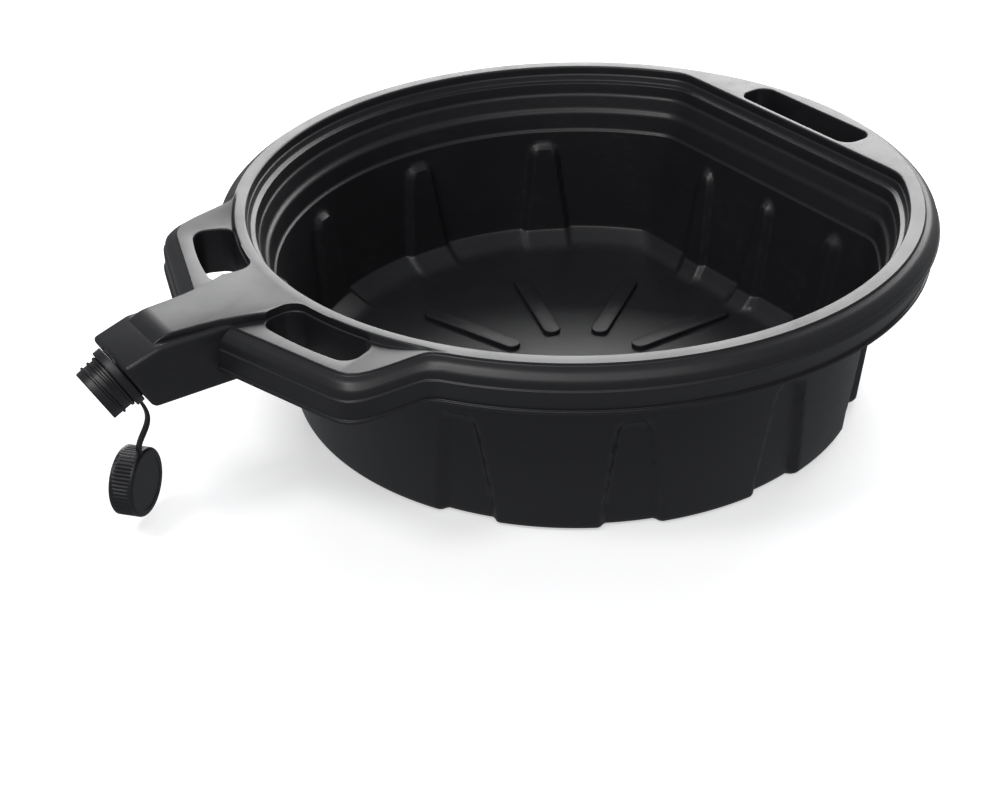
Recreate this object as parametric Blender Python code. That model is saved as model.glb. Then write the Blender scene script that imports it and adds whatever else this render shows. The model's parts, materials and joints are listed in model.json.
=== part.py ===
"""Oil drain pan: a round moulded plastic pan with a pouring spout, three grips, and a tethered screw cap.

Frame: metres, +Z up, origin at the centre of the bowl's underside. The spout points along -X and the rear
grip lies at +X. Depths are measured down from the top of the rim, insets inwards from its inner edge.
"""

import math

import bmesh
import bpy
from mathutils import Matrix, Vector

# Driving dimensions
HEIGHT = 0.148  # top of the rim above the floor that the pan stands on
OPENING_RADIUS = 0.232  # inner edge of the flat rim band
BAND_WIDTH = 0.010  # flat top of the rim
SHOULDER = 0.011  # how far the rounded shoulder swells past the band
WALL = 0.003  # moulding thickness
CHORD_X = 0.1985  # the flattened inner edge beside the rear grip
SIDES = 96  # evenly spread stations round the bowl

# Bowl wall: (inset from the round edge, inset from the flattened edge, depth), going down the inside
WALL_STEPS = (
    (0.0000, 0.0000, 0.0000),
    (0.0010, 0.0010, 0.0060),
    (0.0055, 0.0055, 0.0100),
    (0.0065, 0.0075, 0.0210),
    (0.0135, 0.0110, 0.0320),
    (0.0145, 0.0155, 0.0460),
    (0.0170, 0.0170, 0.0500),
)
WALL_FOOT = (0.0250, 0.0340, 0.1330)
FLOOR_EDGE = (0.0420, 0.0440, 0.1445)
BASE_EDGE_DEPTH = 0.1460  # where the outside wall turns into the flat underside

# Flutes: upright folds of the wall, hollow outside and raised inside
FLUTE_DEPTH = 0.0055
FLUTE_TOP = (0.0600, 0.0660, 0.0720)  # depths over which a flute rises to its full height
SIDE_FLUTES = (61.0, 90.7, 121.0, 151.0, -146.0, -116.0, -86.0, -56.5)  # degrees from +X
SIDE_FLUTE_HALF_ANGLE = 4.6
REAR_FLUTES = (-24.5, -2.4, 20.0)
REAR_FLUTE_HALF_ANGLE = 2.8

# Front grips, left and right of the spout: the top edge's two straight lines, as (unit normal, distance)
EAR_FRONT = (Vector((-0.9565, 0.2918)), 0.2785)
EAR_SIDE = (Vector((-0.1045, 0.9945)), 0.1510)
EAR_SHOULDER = 0.010
EAR_STEP = 0.005  # the grips lie this much below the rim band
EAR_START = 144.0  # degrees from +X where the step begins
EAR_FULL = 156.0
SKIRT_DEPTH = 0.0315
EAR_SKIRT_DEPTH = 0.0335
SHOULDER_DEPTH = 0.0105
SKIRT_FOOT = 0.45  # the skirt tapers back to this share of the shoulder, but stays upright round the grips

# Grip slots
EAR_SLOT_RADIUS = 0.2545
EAR_SLOT_ANGLE = 164.55
EAR_SLOT_HALF_LENGTH = 0.0378
REAR_SLOT_X = 0.2168
REAR_SLOT_HALF_LENGTH = 0.060
SLOT_HALF_WIDTH = 0.014
SLOT_CORNER = 0.0105
SLOT_LIP = 0.0022  # thickness of the turned-down edge round a slot
SLOT_LIP_TOP = 0.001  # below the surface that the slot is in
SLOT_LIP_DEPTH = 0.032
EAR_SLOT_FLOOR = 0.060  # depth that the cut of a front slot reaches
REAR_SLOT_FLOOR = 0.038
ABOVE = 0.02  # how far a cutter stands above the rim

# Floor
FLOOR_CENTRE = (-0.006, -0.009)  # middle of the ribs and the disc
FLOOR_RIBS = 10
FLOOR_RIB = (0.056, 0.146, 0.014, 0.003)  # inner radius, outer radius, width, height
FLOOR_DISC = (0.050, 0.0015)  # radius, height
OVERLAP = 0.001  # how far a raised shape starts inside what it stands on

# Spout: a closed box channel, with its outlet face square to the neck
SPOUT_HALF_WIDTH = 0.026
SPOUT_SIDE = ((-0.205, 0.004), (-0.331, 0.004), (-0.356, 0.012), (-0.3395, 0.0450), (-0.205, 0.0450))
SPOUT_EDGE = 0.003
CHANNEL_SIDE = ((-0.205, 0.008), (-0.330, 0.008), (-0.3525, 0.0145), (-0.3385, 0.0420), (-0.205, 0.0420))
PLATE_HALF = (
    (-0.331, 0.019), (-0.302, 0.021), (-0.278, 0.026), (-0.256, 0.034), (-0.242, 0.048), (-0.225, 0.075),
)
PLATE_TOP = 0.0002
PLATE_UNDERSIDE = 0.010
NECK_AXIS = Vector((-0.8944, 0.0, -0.4472))
NECK_BASE = Vector((-0.3478, 0.0, 0.0285))  # x, y, depth: centre of the neck on the outlet face
NECK_RADIUS = 0.0180
NECK_BORE = 0.0145
NECK_LENGTH = 0.0225
NECK_ROOT = 0.002  # how far the neck starts inside the outlet face
BORE_START = 0.008  # how far the bore's cutter runs past the neck at both ends
BEAD_RADIUS = 0.0192
BEAD = (0.0070, 0.0088)  # along the neck, behind which the tether's ring is held
THREAD_RADIUS = 0.0192
THREADS = ((0.0120, 0.0140), (0.0170, 0.0190))

# Tether and cap
GAP = 0.0003
RING_OUTER = 0.0212
RING_SPAN = (0.0006, 0.0064)
STRAP_WIDTH = 0.005
STRAP_THICKNESS = 0.002
STRAP_LEAD = 0.042  # pull of the strap's root along its first direction, out of the ring
STRAP_DROP = 0.036  # pull of its foot straight down
STRAP_BOW = 0.003  # how far its middle bows further towards the pan
STRAP_POINTS = 15
TAB_LENGTH = 0.0015
CAP_RADIUS = 0.0230
CAP_HEIGHT = 0.0165
CAP_BORE = 0.0197
CAP_TOP = 0.0030
CAP_BALANCE = 0.0057  # from the cap's middle to its tab, towards the closed face
STRAP_DRIFT = 0.0056  # the strap's foot hangs this much outwards of its root
CAP_DEPTH = 0.112  # centre of the hanging cap below the top of the rim
CAP_FACING = -49.0  # degrees from +X that the closed face points to
SEAL_THICKNESS = 0.0012

PLASTIC = (0.012, 0.012, 0.014, 1.0)
CAP_PLASTIC = (0.014, 0.014, 0.017, 1.0)
RUBBER = (0.020, 0.020, 0.020, 1.0)


def clear_scene():
    for obj in list(bpy.data.objects):
        bpy.data.objects.remove(obj)


def collection(name):
    made = bpy.data.collections.new(name)
    bpy.context.scene.collection.children.link(made)
    return made


def material(name, colour, roughness):
    made = bpy.data.materials.new(name)
    made.use_nodes = True
    shader = made.node_tree.nodes["Principled BSDF"]
    shader.inputs["Base Color"].default_value = colour
    shader.inputs["Roughness"].default_value = roughness
    shader.inputs["Metallic"].default_value = 0.0
    return made


def face_outwards(bm):
    bmesh.ops.recalc_face_normals(bm, faces=bm.faces)
    if bm.calc_volume(signed=True) < 0:
        bmesh.ops.reverse_faces(bm, faces=bm.faces)


def object_from(bm, name, parent, mat=None, smooth=30.0):
    face_outwards(bm)
    mesh = bpy.data.meshes.new(name)
    bm.to_mesh(mesh)
    bm.free()
    mesh.shade_smooth()
    mesh.set_sharp_from_angle(angle=math.radians(smooth))
    made = bpy.data.objects.new(name, mesh)
    parent.objects.link(made)
    if mat:
        mesh.materials.append(mat)
    else:
        made.hide_render = True
        made.display_type = "WIRE"
    return made


def combine(target, other, operation, solver="EXACT"):
    step = target.modifiers.new(other.name, "BOOLEAN")
    step.operation = operation
    step.object = other
    step.solver = solver


def soft_min(a, b, sharpness):
    return (a**-sharpness + b**-sharpness) ** (-1.0 / sharpness)


def soft_max(a, b, sharpness):
    return (a**sharpness + b**sharpness) ** (1.0 / sharpness)


def ramp(value, start, end):
    share = min(1.0, max(0.0, (value - start) / (end - start)))
    return share * share * (3.0 - 2.0 * share)


def opening_radius(angle, inset, flat_inset):
    """Distance from the axis to the bowl's inside, a circle with one flattened side towards +X."""
    circle = OPENING_RADIUS - inset
    towards_rear = math.cos(angle)
    if towards_rear < 0.2:
        return circle
    return soft_min(circle, (CHORD_X - flat_inset) / towards_rear, 110.0)


def line_radius(angle, line, grow):
    normal, distance = line
    across = math.cos(angle) * normal.x + abs(math.sin(angle)) * normal.y
    return (distance + grow) / across if across > 0.15 else 1.0


def outline_radius(angle, share):
    """Distance from the axis to the rim's outside; share runs from the band's edge, 0, to the skirt, 1."""
    rim = OPENING_RADIUS + BAND_WIDTH + SHOULDER * share
    if math.cos(angle) > -0.5:
        return rim
    grow = EAR_SHOULDER * share
    ear = soft_min(line_radius(angle, EAR_FRONT, grow), line_radius(angle, EAR_SIDE, grow), 34.0)
    return soft_max(rim, ear, 90.0)


def flute(angle, depth):
    """How far the wall is folded inwards at this place."""
    degrees = math.degrees(math.atan2(math.sin(angle), math.cos(angle)))
    side = min(abs(degrees - centre) for centre in SIDE_FLUTES) / SIDE_FLUTE_HALF_ANGLE
    rear = min(abs(degrees - centre) for centre in REAR_FLUTES) / REAR_FLUTE_HALF_ANGLE
    across = 1.0 - ramp(min(side, rear), 0.75, 1.25)
    return FLUTE_DEPTH * across * ramp(depth, FLUTE_TOP[0], FLUTE_TOP[-1])


def wall_insets(depth):
    """Insets of the smooth wall below its stepped top, by linear change with depth."""
    top = WALL_STEPS[-1]
    share = (depth - top[2]) / (WALL_FOOT[2] - top[2])
    return top[0] + share * (WALL_FOOT[0] - top[0]), top[1] + share * (WALL_FOOT[1] - top[1])


def inside_points(angle, out=0.0):
    """(radius, depth) from the floor's edge up the inside to the rim's inner edge."""
    points = []
    edge = opening_radius(angle, FLOOR_EDGE[0], FLOOR_EDGE[1])
    points.append((edge - flute(angle, FLOOR_EDGE[2]) + out, FLOOR_EDGE[2]))
    for depth in (WALL_FOOT[2], *reversed(FLUTE_TOP)):
        inset, flat_inset = wall_insets(depth)
        points.append((opening_radius(angle, inset, flat_inset) - flute(angle, depth) + out, depth))
    for inset, flat_inset, depth in reversed(WALL_STEPS):
        points.append((opening_radius(angle, inset, flat_inset) + out, depth))
    return points


def outside_points(angle):
    """(radius, depth) from the rim's inner edge out over the band, down the skirt and down the outside wall."""
    edge = opening_radius(angle, 0.0, 0.0)
    share = ramp(abs(math.degrees(math.atan2(math.sin(angle), math.cos(angle)))), EAR_START, EAR_FULL)
    step = EAR_STEP * share
    skirt = SKIRT_DEPTH + (EAR_SKIRT_DEPTH - SKIRT_DEPTH) * share
    points = [(edge + 0.0085, 0.0), (edge + 0.0092, step), (outline_radius(angle, 0.0), step)]
    for turn in (30.0, 60.0, 90.0):
        across = math.sin(math.radians(turn))
        down = 1.0 - math.cos(math.radians(turn))
        points.append((outline_radius(angle, across), step + (SHOULDER_DEPTH - 0.5 * step) * down))
    foot = SKIRT_FOOT + (1.0 - SKIRT_FOOT) * share
    points.append((outline_radius(angle, foot), skirt))
    points.append((outline_radius(angle, foot - 0.24), skirt))
    points.append((outline_radius(angle, 0.76), step + SHOULDER_DEPTH))
    points.append((outline_radius(angle, 0.05), step + WALL))
    points.append((edge + WALL, step + WALL))
    for inset, flat_inset, depth in (WALL_STEPS[3], WALL_STEPS[4], WALL_STEPS[6]):
        points.append((opening_radius(angle, inset, flat_inset) + WALL, depth))
    for depth in (*FLUTE_TOP, BASE_EDGE_DEPTH):
        inset, flat_inset = wall_insets(depth)
        points.append((opening_radius(angle, inset, flat_inset) - flute(angle, depth) + WALL, depth))
    points.append((points[-1][0] - 0.002, HEIGHT))
    return points


def station_angles():
    """Angles of the cross-sections: even ones, with the flutes' edges in place of those next to them."""
    edges = []
    for centres, half in ((SIDE_FLUTES, SIDE_FLUTE_HALF_ANGLE), (REAR_FLUTES, REAR_FLUTE_HALF_ANGLE)):
        for centre in centres:
            edges += [centre + half * share for share in (-1.25, -0.8, 0.0, 0.8, 1.25)]
    edges = [round(edge, 4) for edge in edges]
    even = [360.0 * i / SIDES - 180.0 for i in range(SIDES)]
    clear = [angle for angle in even if min(abs(angle - edge) for edge in edges) > 1.6]
    return [math.radians(angle) for angle in sorted(edges + clear)]


def revolve_sections(sections, start_height, end_height):
    """Closed mesh through one (radius, depth) section per angle, with a pole on the axis at each end."""
    bm = bmesh.new()
    rings = []
    for angle, section in sections:
        direction = Vector((math.cos(angle), math.sin(angle), 0.0))
        points = [direction * radius + Vector((0, 0, HEIGHT - depth)) for radius, depth in section]
        rings.append([bm.verts.new(point) for point in points])
    first = bm.verts.new((0, 0, start_height))
    last = bm.verts.new((0, 0, end_height))
    for ring, following in zip(rings, rings[1:] + rings[:1], strict=True):
        bm.faces.new((first, ring[0], following[0]))
        bm.faces.new((last, following[-1], ring[-1]))
        for a, b, c, d in zip(ring, ring[1:], following[1:], following, strict=False):
            bm.faces.new((a, b, c, d))
    return bm


def prism(outline, low, high):
    """Upright prism on a plan outline of (x, y) points, between two heights."""
    bm = bmesh.new()
    base = bm.faces.new([bm.verts.new((x, y, low)) for x, y in outline])
    raised = bmesh.ops.extrude_face_region(bm, geom=[base])
    moved = [item for item in raised["geom"] if isinstance(item, bmesh.types.BMVert)]
    bmesh.ops.translate(bm, verts=moved, vec=(0, 0, high - low))
    return bm


def side_prism(outline, half_width):
    """Prism across Y on a side outline of (x, depth) points."""
    bm = bmesh.new()
    side = bm.faces.new([bm.verts.new((x, -half_width, HEIGHT - depth)) for x, depth in outline])
    moved = bmesh.ops.extrude_face_region(bm, geom=[side])
    verts = [item for item in moved["geom"] if isinstance(item, bmesh.types.BMVert)]
    bmesh.ops.translate(bm, verts=verts, vec=(0, 2 * half_width, 0))
    return bm


def bevel_all(bm, width, segments=2):
    face_outwards(bm)
    bmesh.ops.bevel(
        bm, geom=bm.edges[:], offset=width, segments=segments, profile=0.5, affect="EDGES", clamp_overlap=True
    )


def slot_outline(half_length, grow):
    """(along, across) points of a grip slot with rounded corners, made this much larger all round."""
    half_width = SLOT_HALF_WIDTH + grow
    corner = SLOT_CORNER + grow
    reach = half_length + grow - corner
    points = []
    for along, across, first in ((1, 1, 0), (-1, 1, 90), (-1, -1, 180), (1, -1, 270)):
        for degrees in (0, 30, 60, 90):
            turn = math.radians(first + degrees)
            offset = across * (half_width - corner)
            points.append((along * reach + corner * math.cos(turn), offset + corner * math.sin(turn)))
        if along == across:
            points += [(along * reach * share, across * half_width) for share in (0.5, 0.0, -0.5)]
    return points


def front_slot(side, grow):
    """Plan outline of a front grip's slot, bent round the bowl."""
    points = []
    for along, across in slot_outline(EAR_SLOT_HALF_LENGTH, grow):
        angle = math.radians(EAR_SLOT_ANGLE) + along / EAR_SLOT_RADIUS
        radius = EAR_SLOT_RADIUS + across
        points.append((radius * math.cos(angle), side * radius * math.sin(angle)))
    return points


def rear_slot(grow):
    return [(REAR_SLOT_X + across, along) for along, across in slot_outline(REAR_SLOT_HALF_LENGTH, grow)]


def neck_matrix(along):
    """Placement on the neck's axis, this far out of the outlet face, with local +Z along the neck."""
    place = Vector((NECK_BASE.x, 0.0, HEIGHT - NECK_BASE.z)) + NECK_AXIS * along
    return Matrix.Translation(place) @ NECK_AXIS.to_track_quat("Z", "Y").to_matrix().to_4x4()


def neck_disc(radius, start, end, segments=32):
    """Cylinder round the neck's axis between two distances from the outlet face."""
    bm = bmesh.new()
    bmesh.ops.create_cone(
        bm, cap_ends=True, segments=segments, radius1=radius, radius2=radius, depth=end - start
    )
    bm.transform(neck_matrix((start + end) / 2))
    return bm


def pan_body(parts, cutters, mat):
    sections = [(angle, inside_points(angle) + outside_points(angle)) for angle in station_angles()]
    body = object_from(revolve_sections(sections, HEIGHT - FLOOR_EDGE[2], 0.0), "pan_body", parts, mat)

    inner_radius, outer_radius, width, height = FLOOR_RIB
    floor = HEIGHT - FLOOR_EDGE[2]
    for i in range(FLOOR_RIBS):
        half = width / 2
        outline = ((inner_radius, -half), (outer_radius, -half), (outer_radius, half), (inner_radius, half))
        rib = prism(outline, floor - OVERLAP, floor + height)
        rib.transform(Matrix.Rotation(math.tau * i / FLOOR_RIBS, 4, "Z"))
        rib.transform(Matrix.Translation((*FLOOR_CENTRE, 0.0)))
        combine(body, object_from(rib, f"floor_rib_{i}", cutters), "UNION")
    disc_radius, disc_height = FLOOR_DISC
    thickness = disc_height + OVERLAP
    disc = bmesh.new()
    bmesh.ops.create_cone(
        disc, cap_ends=True, segments=40, radius1=disc_radius, radius2=disc_radius, depth=thickness
    )
    disc.transform(Matrix.Translation((*FLOOR_CENTRE, floor + disc_height - thickness / 2)))
    combine(body, object_from(disc, "floor_disc", cutters), "UNION")

    cavity_sections = []
    for angle in station_angles():
        inside = inside_points(angle, WALL / 2)
        cavity_sections.append((angle, [*inside, (inside[-1][0], -ABOVE)]))
    space = revolve_sections(cavity_sections, floor, HEIGHT + ABOVE)
    cavity = object_from(space, "bowl_space", cutters)

    box = side_prism(SPOUT_SIDE, SPOUT_HALF_WIDTH)
    bevel_all(box, SPOUT_EDGE)
    spout = object_from(box, "spout_box", cutters)
    combine(spout, cavity, "DIFFERENCE")
    plan = [*PLATE_HALF, *((x, -y) for x, y in reversed(PLATE_HALF))]
    plate = object_from(prism(plan, HEIGHT - PLATE_UNDERSIDE, HEIGHT - PLATE_TOP), "spout_plate", cutters)
    combine(plate, cavity, "DIFFERENCE")
    combine(body, spout, "UNION", "MANIFOLD")
    combine(body, plate, "UNION")

    slots = (
        ("left", lambda grow: front_slot(1, grow), EAR_STEP, EAR_SLOT_FLOOR),
        ("right", lambda grow: front_slot(-1, grow), EAR_STEP, EAR_SLOT_FLOOR),
        ("rear", rear_slot, 0.0, REAR_SLOT_FLOOR),
    )
    for name, outline, step, deepest in slots:
        top = HEIGHT - step - SLOT_LIP_TOP
        lip = prism(outline(SLOT_LIP), top - SLOT_LIP_DEPTH, top)
        combine(body, object_from(lip, f"slot_lip_{name}", cutters), "UNION")
        hole = prism(outline(0.0), HEIGHT - deepest, HEIGHT + ABOVE)
        combine(body, object_from(hole, f"slot_{name}", cutters), "DIFFERENCE")

    combine(body, object_from(neck_disc(NECK_RADIUS, -NECK_ROOT, NECK_LENGTH), "neck", cutters), "UNION")
    combine(body, object_from(neck_disc(BEAD_RADIUS, *BEAD), "neck_bead", cutters), "UNION")
    for i, span in enumerate(THREADS):
        combine(body, object_from(neck_disc(THREAD_RADIUS, *span), f"neck_thread_{i}", cutters), "UNION")

    channel = side_prism(CHANNEL_SIDE, SPOUT_HALF_WIDTH - WALL)
    combine(body, object_from(channel, "spout_channel", cutters), "DIFFERENCE")
    bore = neck_disc(NECK_BORE, -BORE_START, NECK_LENGTH + BORE_START)
    combine(body, object_from(bore, "neck_hole", cutters), "DIFFERENCE")
    return body


def hang_direction():
    """Downward direction square to the neck, in which the strap leaves its ring."""
    return Vector((-NECK_AXIS.z, 0.0, NECK_AXIS.x))


def ring_bottom():
    """Lowest point of the tether ring's outside, where the strap hangs from."""
    return neck_matrix(sum(RING_SPAN) / 2).translation + hang_direction() * RING_OUTER


def swing_centre():
    """Middle of the strap's rounded root, which it swings about."""
    return ring_bottom() + hang_direction() * (TAB_LENGTH + GAP + STRAP_THICKNESS / 2)


def strap_foot():
    """Lower end of the strap, just clear of the cap's tab."""
    return Vector((swing_centre().x - STRAP_DRIFT, 0.0, HEIGHT - CAP_DEPTH + CAP_RADIUS + TAB_LENGTH + GAP))


def cap_facing():
    return Vector((math.cos(math.radians(CAP_FACING)), math.sin(math.radians(CAP_FACING)), 0.0))


def cap_centre():
    """Middle of the cap, which hangs by its heavier, closed end."""
    foot = strap_foot()
    return Vector((foot.x, foot.y, HEIGHT - CAP_DEPTH)) - cap_facing() * CAP_BALANCE


def tether_ring(parts, cutters, mat):
    ring = object_from(neck_disc(RING_OUTER, *RING_SPAN), "tether_ring", parts, mat)
    hole = neck_disc(NECK_RADIUS + GAP, RING_SPAN[0] - 0.001, RING_SPAN[1] + 0.001)
    combine(ring, object_from(hole, "ring_hole", cutters), "DIFFERENCE")
    tab = bmesh.new()
    bmesh.ops.create_cube(tab, size=1.0)
    tab.transform(Matrix.Diagonal((STRAP_THICKNESS, STRAP_WIDTH, 2 * TAB_LENGTH, 1.0)))
    tab.transform(hang_direction().to_track_quat("Z", "Y").to_matrix().to_4x4())
    tab.transform(Matrix.Translation(ring_bottom()))
    combine(ring, object_from(tab, "ring_tab", cutters), "UNION")
    return ring


def strap_middle():
    """Points down the strap's middle: out of the ring, bowed towards the pan, and straight down to the cap."""
    root = swing_centre()
    foot = strap_foot()
    lead = hang_direction() * STRAP_LEAD
    drop = Vector((0.0, 0.0, -STRAP_DROP))
    points = []
    for i in range(STRAP_POINTS):
        t = i / (STRAP_POINTS - 1)
        ends = root * (2 * t**3 - 3 * t**2 + 1) + foot * (3 * t**2 - 2 * t**3)
        pulls = lead * (t**3 - 2 * t**2 + t) + drop * (t**3 - t**2)
        bow = Vector((STRAP_BOW * math.sin(math.pi * t) ** 2, 0.0, 0.0))
        points.append(ends + pulls + bow)
    return points


def tether_strap(parts, mat):
    """Flat strap with a rounded root, seen from the side as a bent band and spread across Y."""
    middle = strap_middle()
    left, right = [], []
    for i, point in enumerate(middle):
        ahead = middle[min(i + 1, len(middle) - 1)] - middle[max(i - 1, 0)]
        side = Vector((ahead.z, 0.0, -ahead.x)).normalized() * (STRAP_THICKNESS / 2)
        left.append(point + side)
        right.append(point - side)
    left[-1].z = right[-1].z = middle[-1].z
    root = [
        middle[0] + Matrix.Rotation(math.radians(turn), 3, "Y") @ (left[0] - middle[0])
        for turn in (-45.0, -90.0, -135.0)
    ]
    outline = left + right[::-1] + root[::-1]
    bm = side_prism([(point.x, HEIGHT - point.z) for point in outline], STRAP_WIDTH / 2)
    return object_from(bm, "tether_strap", parts, mat)


def cap_disc(radius, start, end, segments=48):
    """Cylinder round the cap's axis; distances run from the middle of the cap towards its closed face."""
    bm = bmesh.new()
    bmesh.ops.create_cone(
        bm, cap_ends=True, segments=segments, radius1=radius, radius2=radius, depth=end - start
    )
    bm.transform(Matrix.Translation((0, 0, (start + end) / 2)))
    bm.transform(cap_facing().to_track_quat("Z", "X").to_matrix().to_4x4())
    bm.transform(Matrix.Translation(cap_centre()))
    return bm


def spout_cap(parts, cutters, mat):
    half = CAP_HEIGHT / 2
    cap = object_from(cap_disc(CAP_RADIUS, -half, half), "spout_cap", parts, mat)
    hole = cap_disc(CAP_BORE, -half - 0.001, half - CAP_TOP)
    combine(cap, object_from(hole, "cap_hole", cutters), "DIFFERENCE")
    tab = bmesh.new()
    bmesh.ops.create_cube(tab, size=1.0)
    tab.transform(Matrix.Diagonal((STRAP_THICKNESS, STRAP_WIDTH, 2 * TAB_LENGTH, 1.0)))
    tab.transform(Matrix.Translation(strap_foot() - Vector((0, 0, GAP + TAB_LENGTH))))
    combine(cap, object_from(tab, "cap_tab", cutters), "UNION")
    return cap


def cap_seal(parts, mat):
    top = CAP_HEIGHT / 2 - CAP_TOP - GAP
    return object_from(cap_disc(CAP_BORE - GAP, top - SEAL_THICKNESS, top), "cap_seal", parts, mat)


def main():
    clear_scene()
    parts = collection("oil_drain_pan")
    cutters = collection("cutters")
    cutters.hide_render = True
    plastic = material("pan_plastic", PLASTIC, 0.42)
    cap_plastic = material("cap_plastic", CAP_PLASTIC, 0.48)
    rubber = material("seal_rubber", RUBBER, 0.65)
    pan_body(parts, cutters, plastic)
    tether_ring(parts, cutters, cap_plastic)
    tether_strap(parts, cap_plastic)
    spout_cap(parts, cutters, cap_plastic)
    cap_seal(parts, rubber)


main()
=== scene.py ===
"""Looks of the oil drain pan: fine moulded surfaces, plastic and rubber, a pale floor and soft studio light.

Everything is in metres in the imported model's frame: +Z up, origin at the centre of the bowl's underside,
the spout along -X. Depths are measured down from the rim's top, insets inwards from its inner edge.
"""

import json
import math

import bmesh
import bpy
from mathutils import Matrix, Vector


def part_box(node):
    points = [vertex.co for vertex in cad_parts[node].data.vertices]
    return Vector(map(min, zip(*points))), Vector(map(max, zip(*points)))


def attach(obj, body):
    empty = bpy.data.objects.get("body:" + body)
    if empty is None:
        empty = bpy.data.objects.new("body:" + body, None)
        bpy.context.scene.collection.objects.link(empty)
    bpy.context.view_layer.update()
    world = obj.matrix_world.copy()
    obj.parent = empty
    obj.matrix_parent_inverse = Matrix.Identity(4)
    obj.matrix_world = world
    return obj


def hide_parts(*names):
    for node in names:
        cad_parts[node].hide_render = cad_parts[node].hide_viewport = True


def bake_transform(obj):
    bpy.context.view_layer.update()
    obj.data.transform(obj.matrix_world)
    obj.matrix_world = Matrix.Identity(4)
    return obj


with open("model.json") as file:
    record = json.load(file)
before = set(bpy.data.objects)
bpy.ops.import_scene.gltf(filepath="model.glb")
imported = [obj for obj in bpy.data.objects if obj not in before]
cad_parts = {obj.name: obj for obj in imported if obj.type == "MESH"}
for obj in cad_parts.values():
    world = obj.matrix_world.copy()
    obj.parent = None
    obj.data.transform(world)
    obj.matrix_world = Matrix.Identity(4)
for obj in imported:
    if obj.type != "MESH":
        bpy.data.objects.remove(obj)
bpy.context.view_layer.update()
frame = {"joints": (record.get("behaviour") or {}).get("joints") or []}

PAN_LOW, PAN_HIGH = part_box("pan_body")
JOINTS = {joint["name"]: joint for joint in frame["joints"]}

# Bowl and rim
HEIGHT = PAN_HIGH.z
OPENING_RADIUS = 0.232  # inner edge of the flat rim band
BAND_WIDTH = 0.010
SHOULDER = 0.0115  # how far the rounded shoulder swells past the band
WALL = 0.003  # moulding thickness
CHORD_X = 0.1985  # the bowl's flattened inner edge, beside the rear grip
ABOVE = 0.02  # how far a cutter stands above the rim
OVERLAP = 0.001  # how far a raised shape starts inside what it stands on

# Inside wall: (inset from the round edge, inset from the flattened edge, depth, rounding), going down
WALL_STEPS = (
    (0.0000, 0.0000, 0.0000, 0.0018),
    (0.0004, 0.0004, 0.0062, 0.0006),
    (0.0012, 0.0012, 0.0070, 0.0006),
    (0.0024, 0.0024, 0.0112, 0.0010),
    (0.0058, 0.0058, 0.0124, 0.0007),
    (0.0068, 0.0070, 0.0206, 0.0012),
    (0.0082, 0.0082, 0.0222, 0.0012),
    (0.0104, 0.0112, 0.0320, 0.0016),
    (0.0134, 0.0128, 0.0350, 0.0016),
    (0.0150, 0.0164, 0.0482, 0.0012),
    (0.0170, 0.0176, 0.0500, 0.0012),
)
WALL_FOOT = (0.0250, 0.0340, 0.1332)
FOOT_LEDGE = (0.0268, 0.0356, 0.1346)
FLOOR_EDGE = (0.0420, 0.0440, 0.1445)
FOOT_LEDGE_ROUNDING = 0.0014
WALL_FOOT_ROUNDING = 0.0012
FLOOR_STRIP = 0.022  # the flat strip of floor inside its edge that the sections reach
FLOOR_EDGE_ROUNDING = 0.007
BASE_EDGE_DEPTH = 0.1450
WALL_ROWS = 22  # rows of points down the fluted wall
ROW_CROWDING = 1.6  # power that brings the rows closer together near the top, where the flutes' tops are
OUTER_LEDGES = (4, 5, 7, 8)  # the wall's steps that show on its outside
OUTER_LEDGE_ROUNDING = 0.0010

# Outside of the rim: (share of the way from band to skirt, depth below the band or the grip, rounding)
RIM_STEPS = (
    (0.00, 0.0000, 0.0007),
    (0.06, 0.0016, 0.0006),
    (0.42, 0.0034, 0.0016),
    (0.84, 0.0082, 0.0022),
    (0.87, 0.0128, 0.0005),
    (1.00, 0.0136, 0.0007),
)
BAND_FLAT = 0.0080  # width of the band's flat top
BAND_SLOPE = 0.0096  # from the opening to the foot of the band's outer slope
# Skirt's lower edge: (share past the skirt's foot, depth from the skirt's end, rounding)
SKIRT_STEPS = (
    (0.00, -0.0026, 0.0005),
    (0.14, -0.0020, 0.0005),
    (0.13, 0.0000, 0.0005),
    (-0.16, 0.0000, 0.0006),
)
UNDER_SHOULDER = (0.70, 0.0130, 0.0020)
UNDER_BAND = (0.05, WALL, 0.0015)
BASE_EDGE_ROUNDING = 0.0026
BASE_EDGE_INSET = 0.0045
BASE_ROUNDING = 0.0020
BASE_STRIP = 0.0300  # from the outside wall's foot to where the sections end on the flat underside

# Flutes
FLUTE_DEPTH = 0.0050
FLUTE_TOP = 0.0610
FLUTE_SIDE = 0.0052  # width of a flute's sloping side
FLUTE_CORNER = 0.0070
SIDE_FLUTES = (61.0, 90.7, 121.0, 151.0, -146.0, -116.0, -86.0, -56.5)  # degrees from +X
SIDE_FLUTE_HALF_WIDTHS = (0.0100, 0.0187)  # at a flute's top and at the wall's foot
REAR_FLUTES = (-24.5, -2.4, 20.0)
REAR_FLUTE_HALF_WIDTHS = (0.0060, 0.0110)
FLUTES = ((SIDE_FLUTES, SIDE_FLUTE_HALF_WIDTHS), (REAR_FLUTES, REAR_FLUTE_HALF_WIDTHS))

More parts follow.
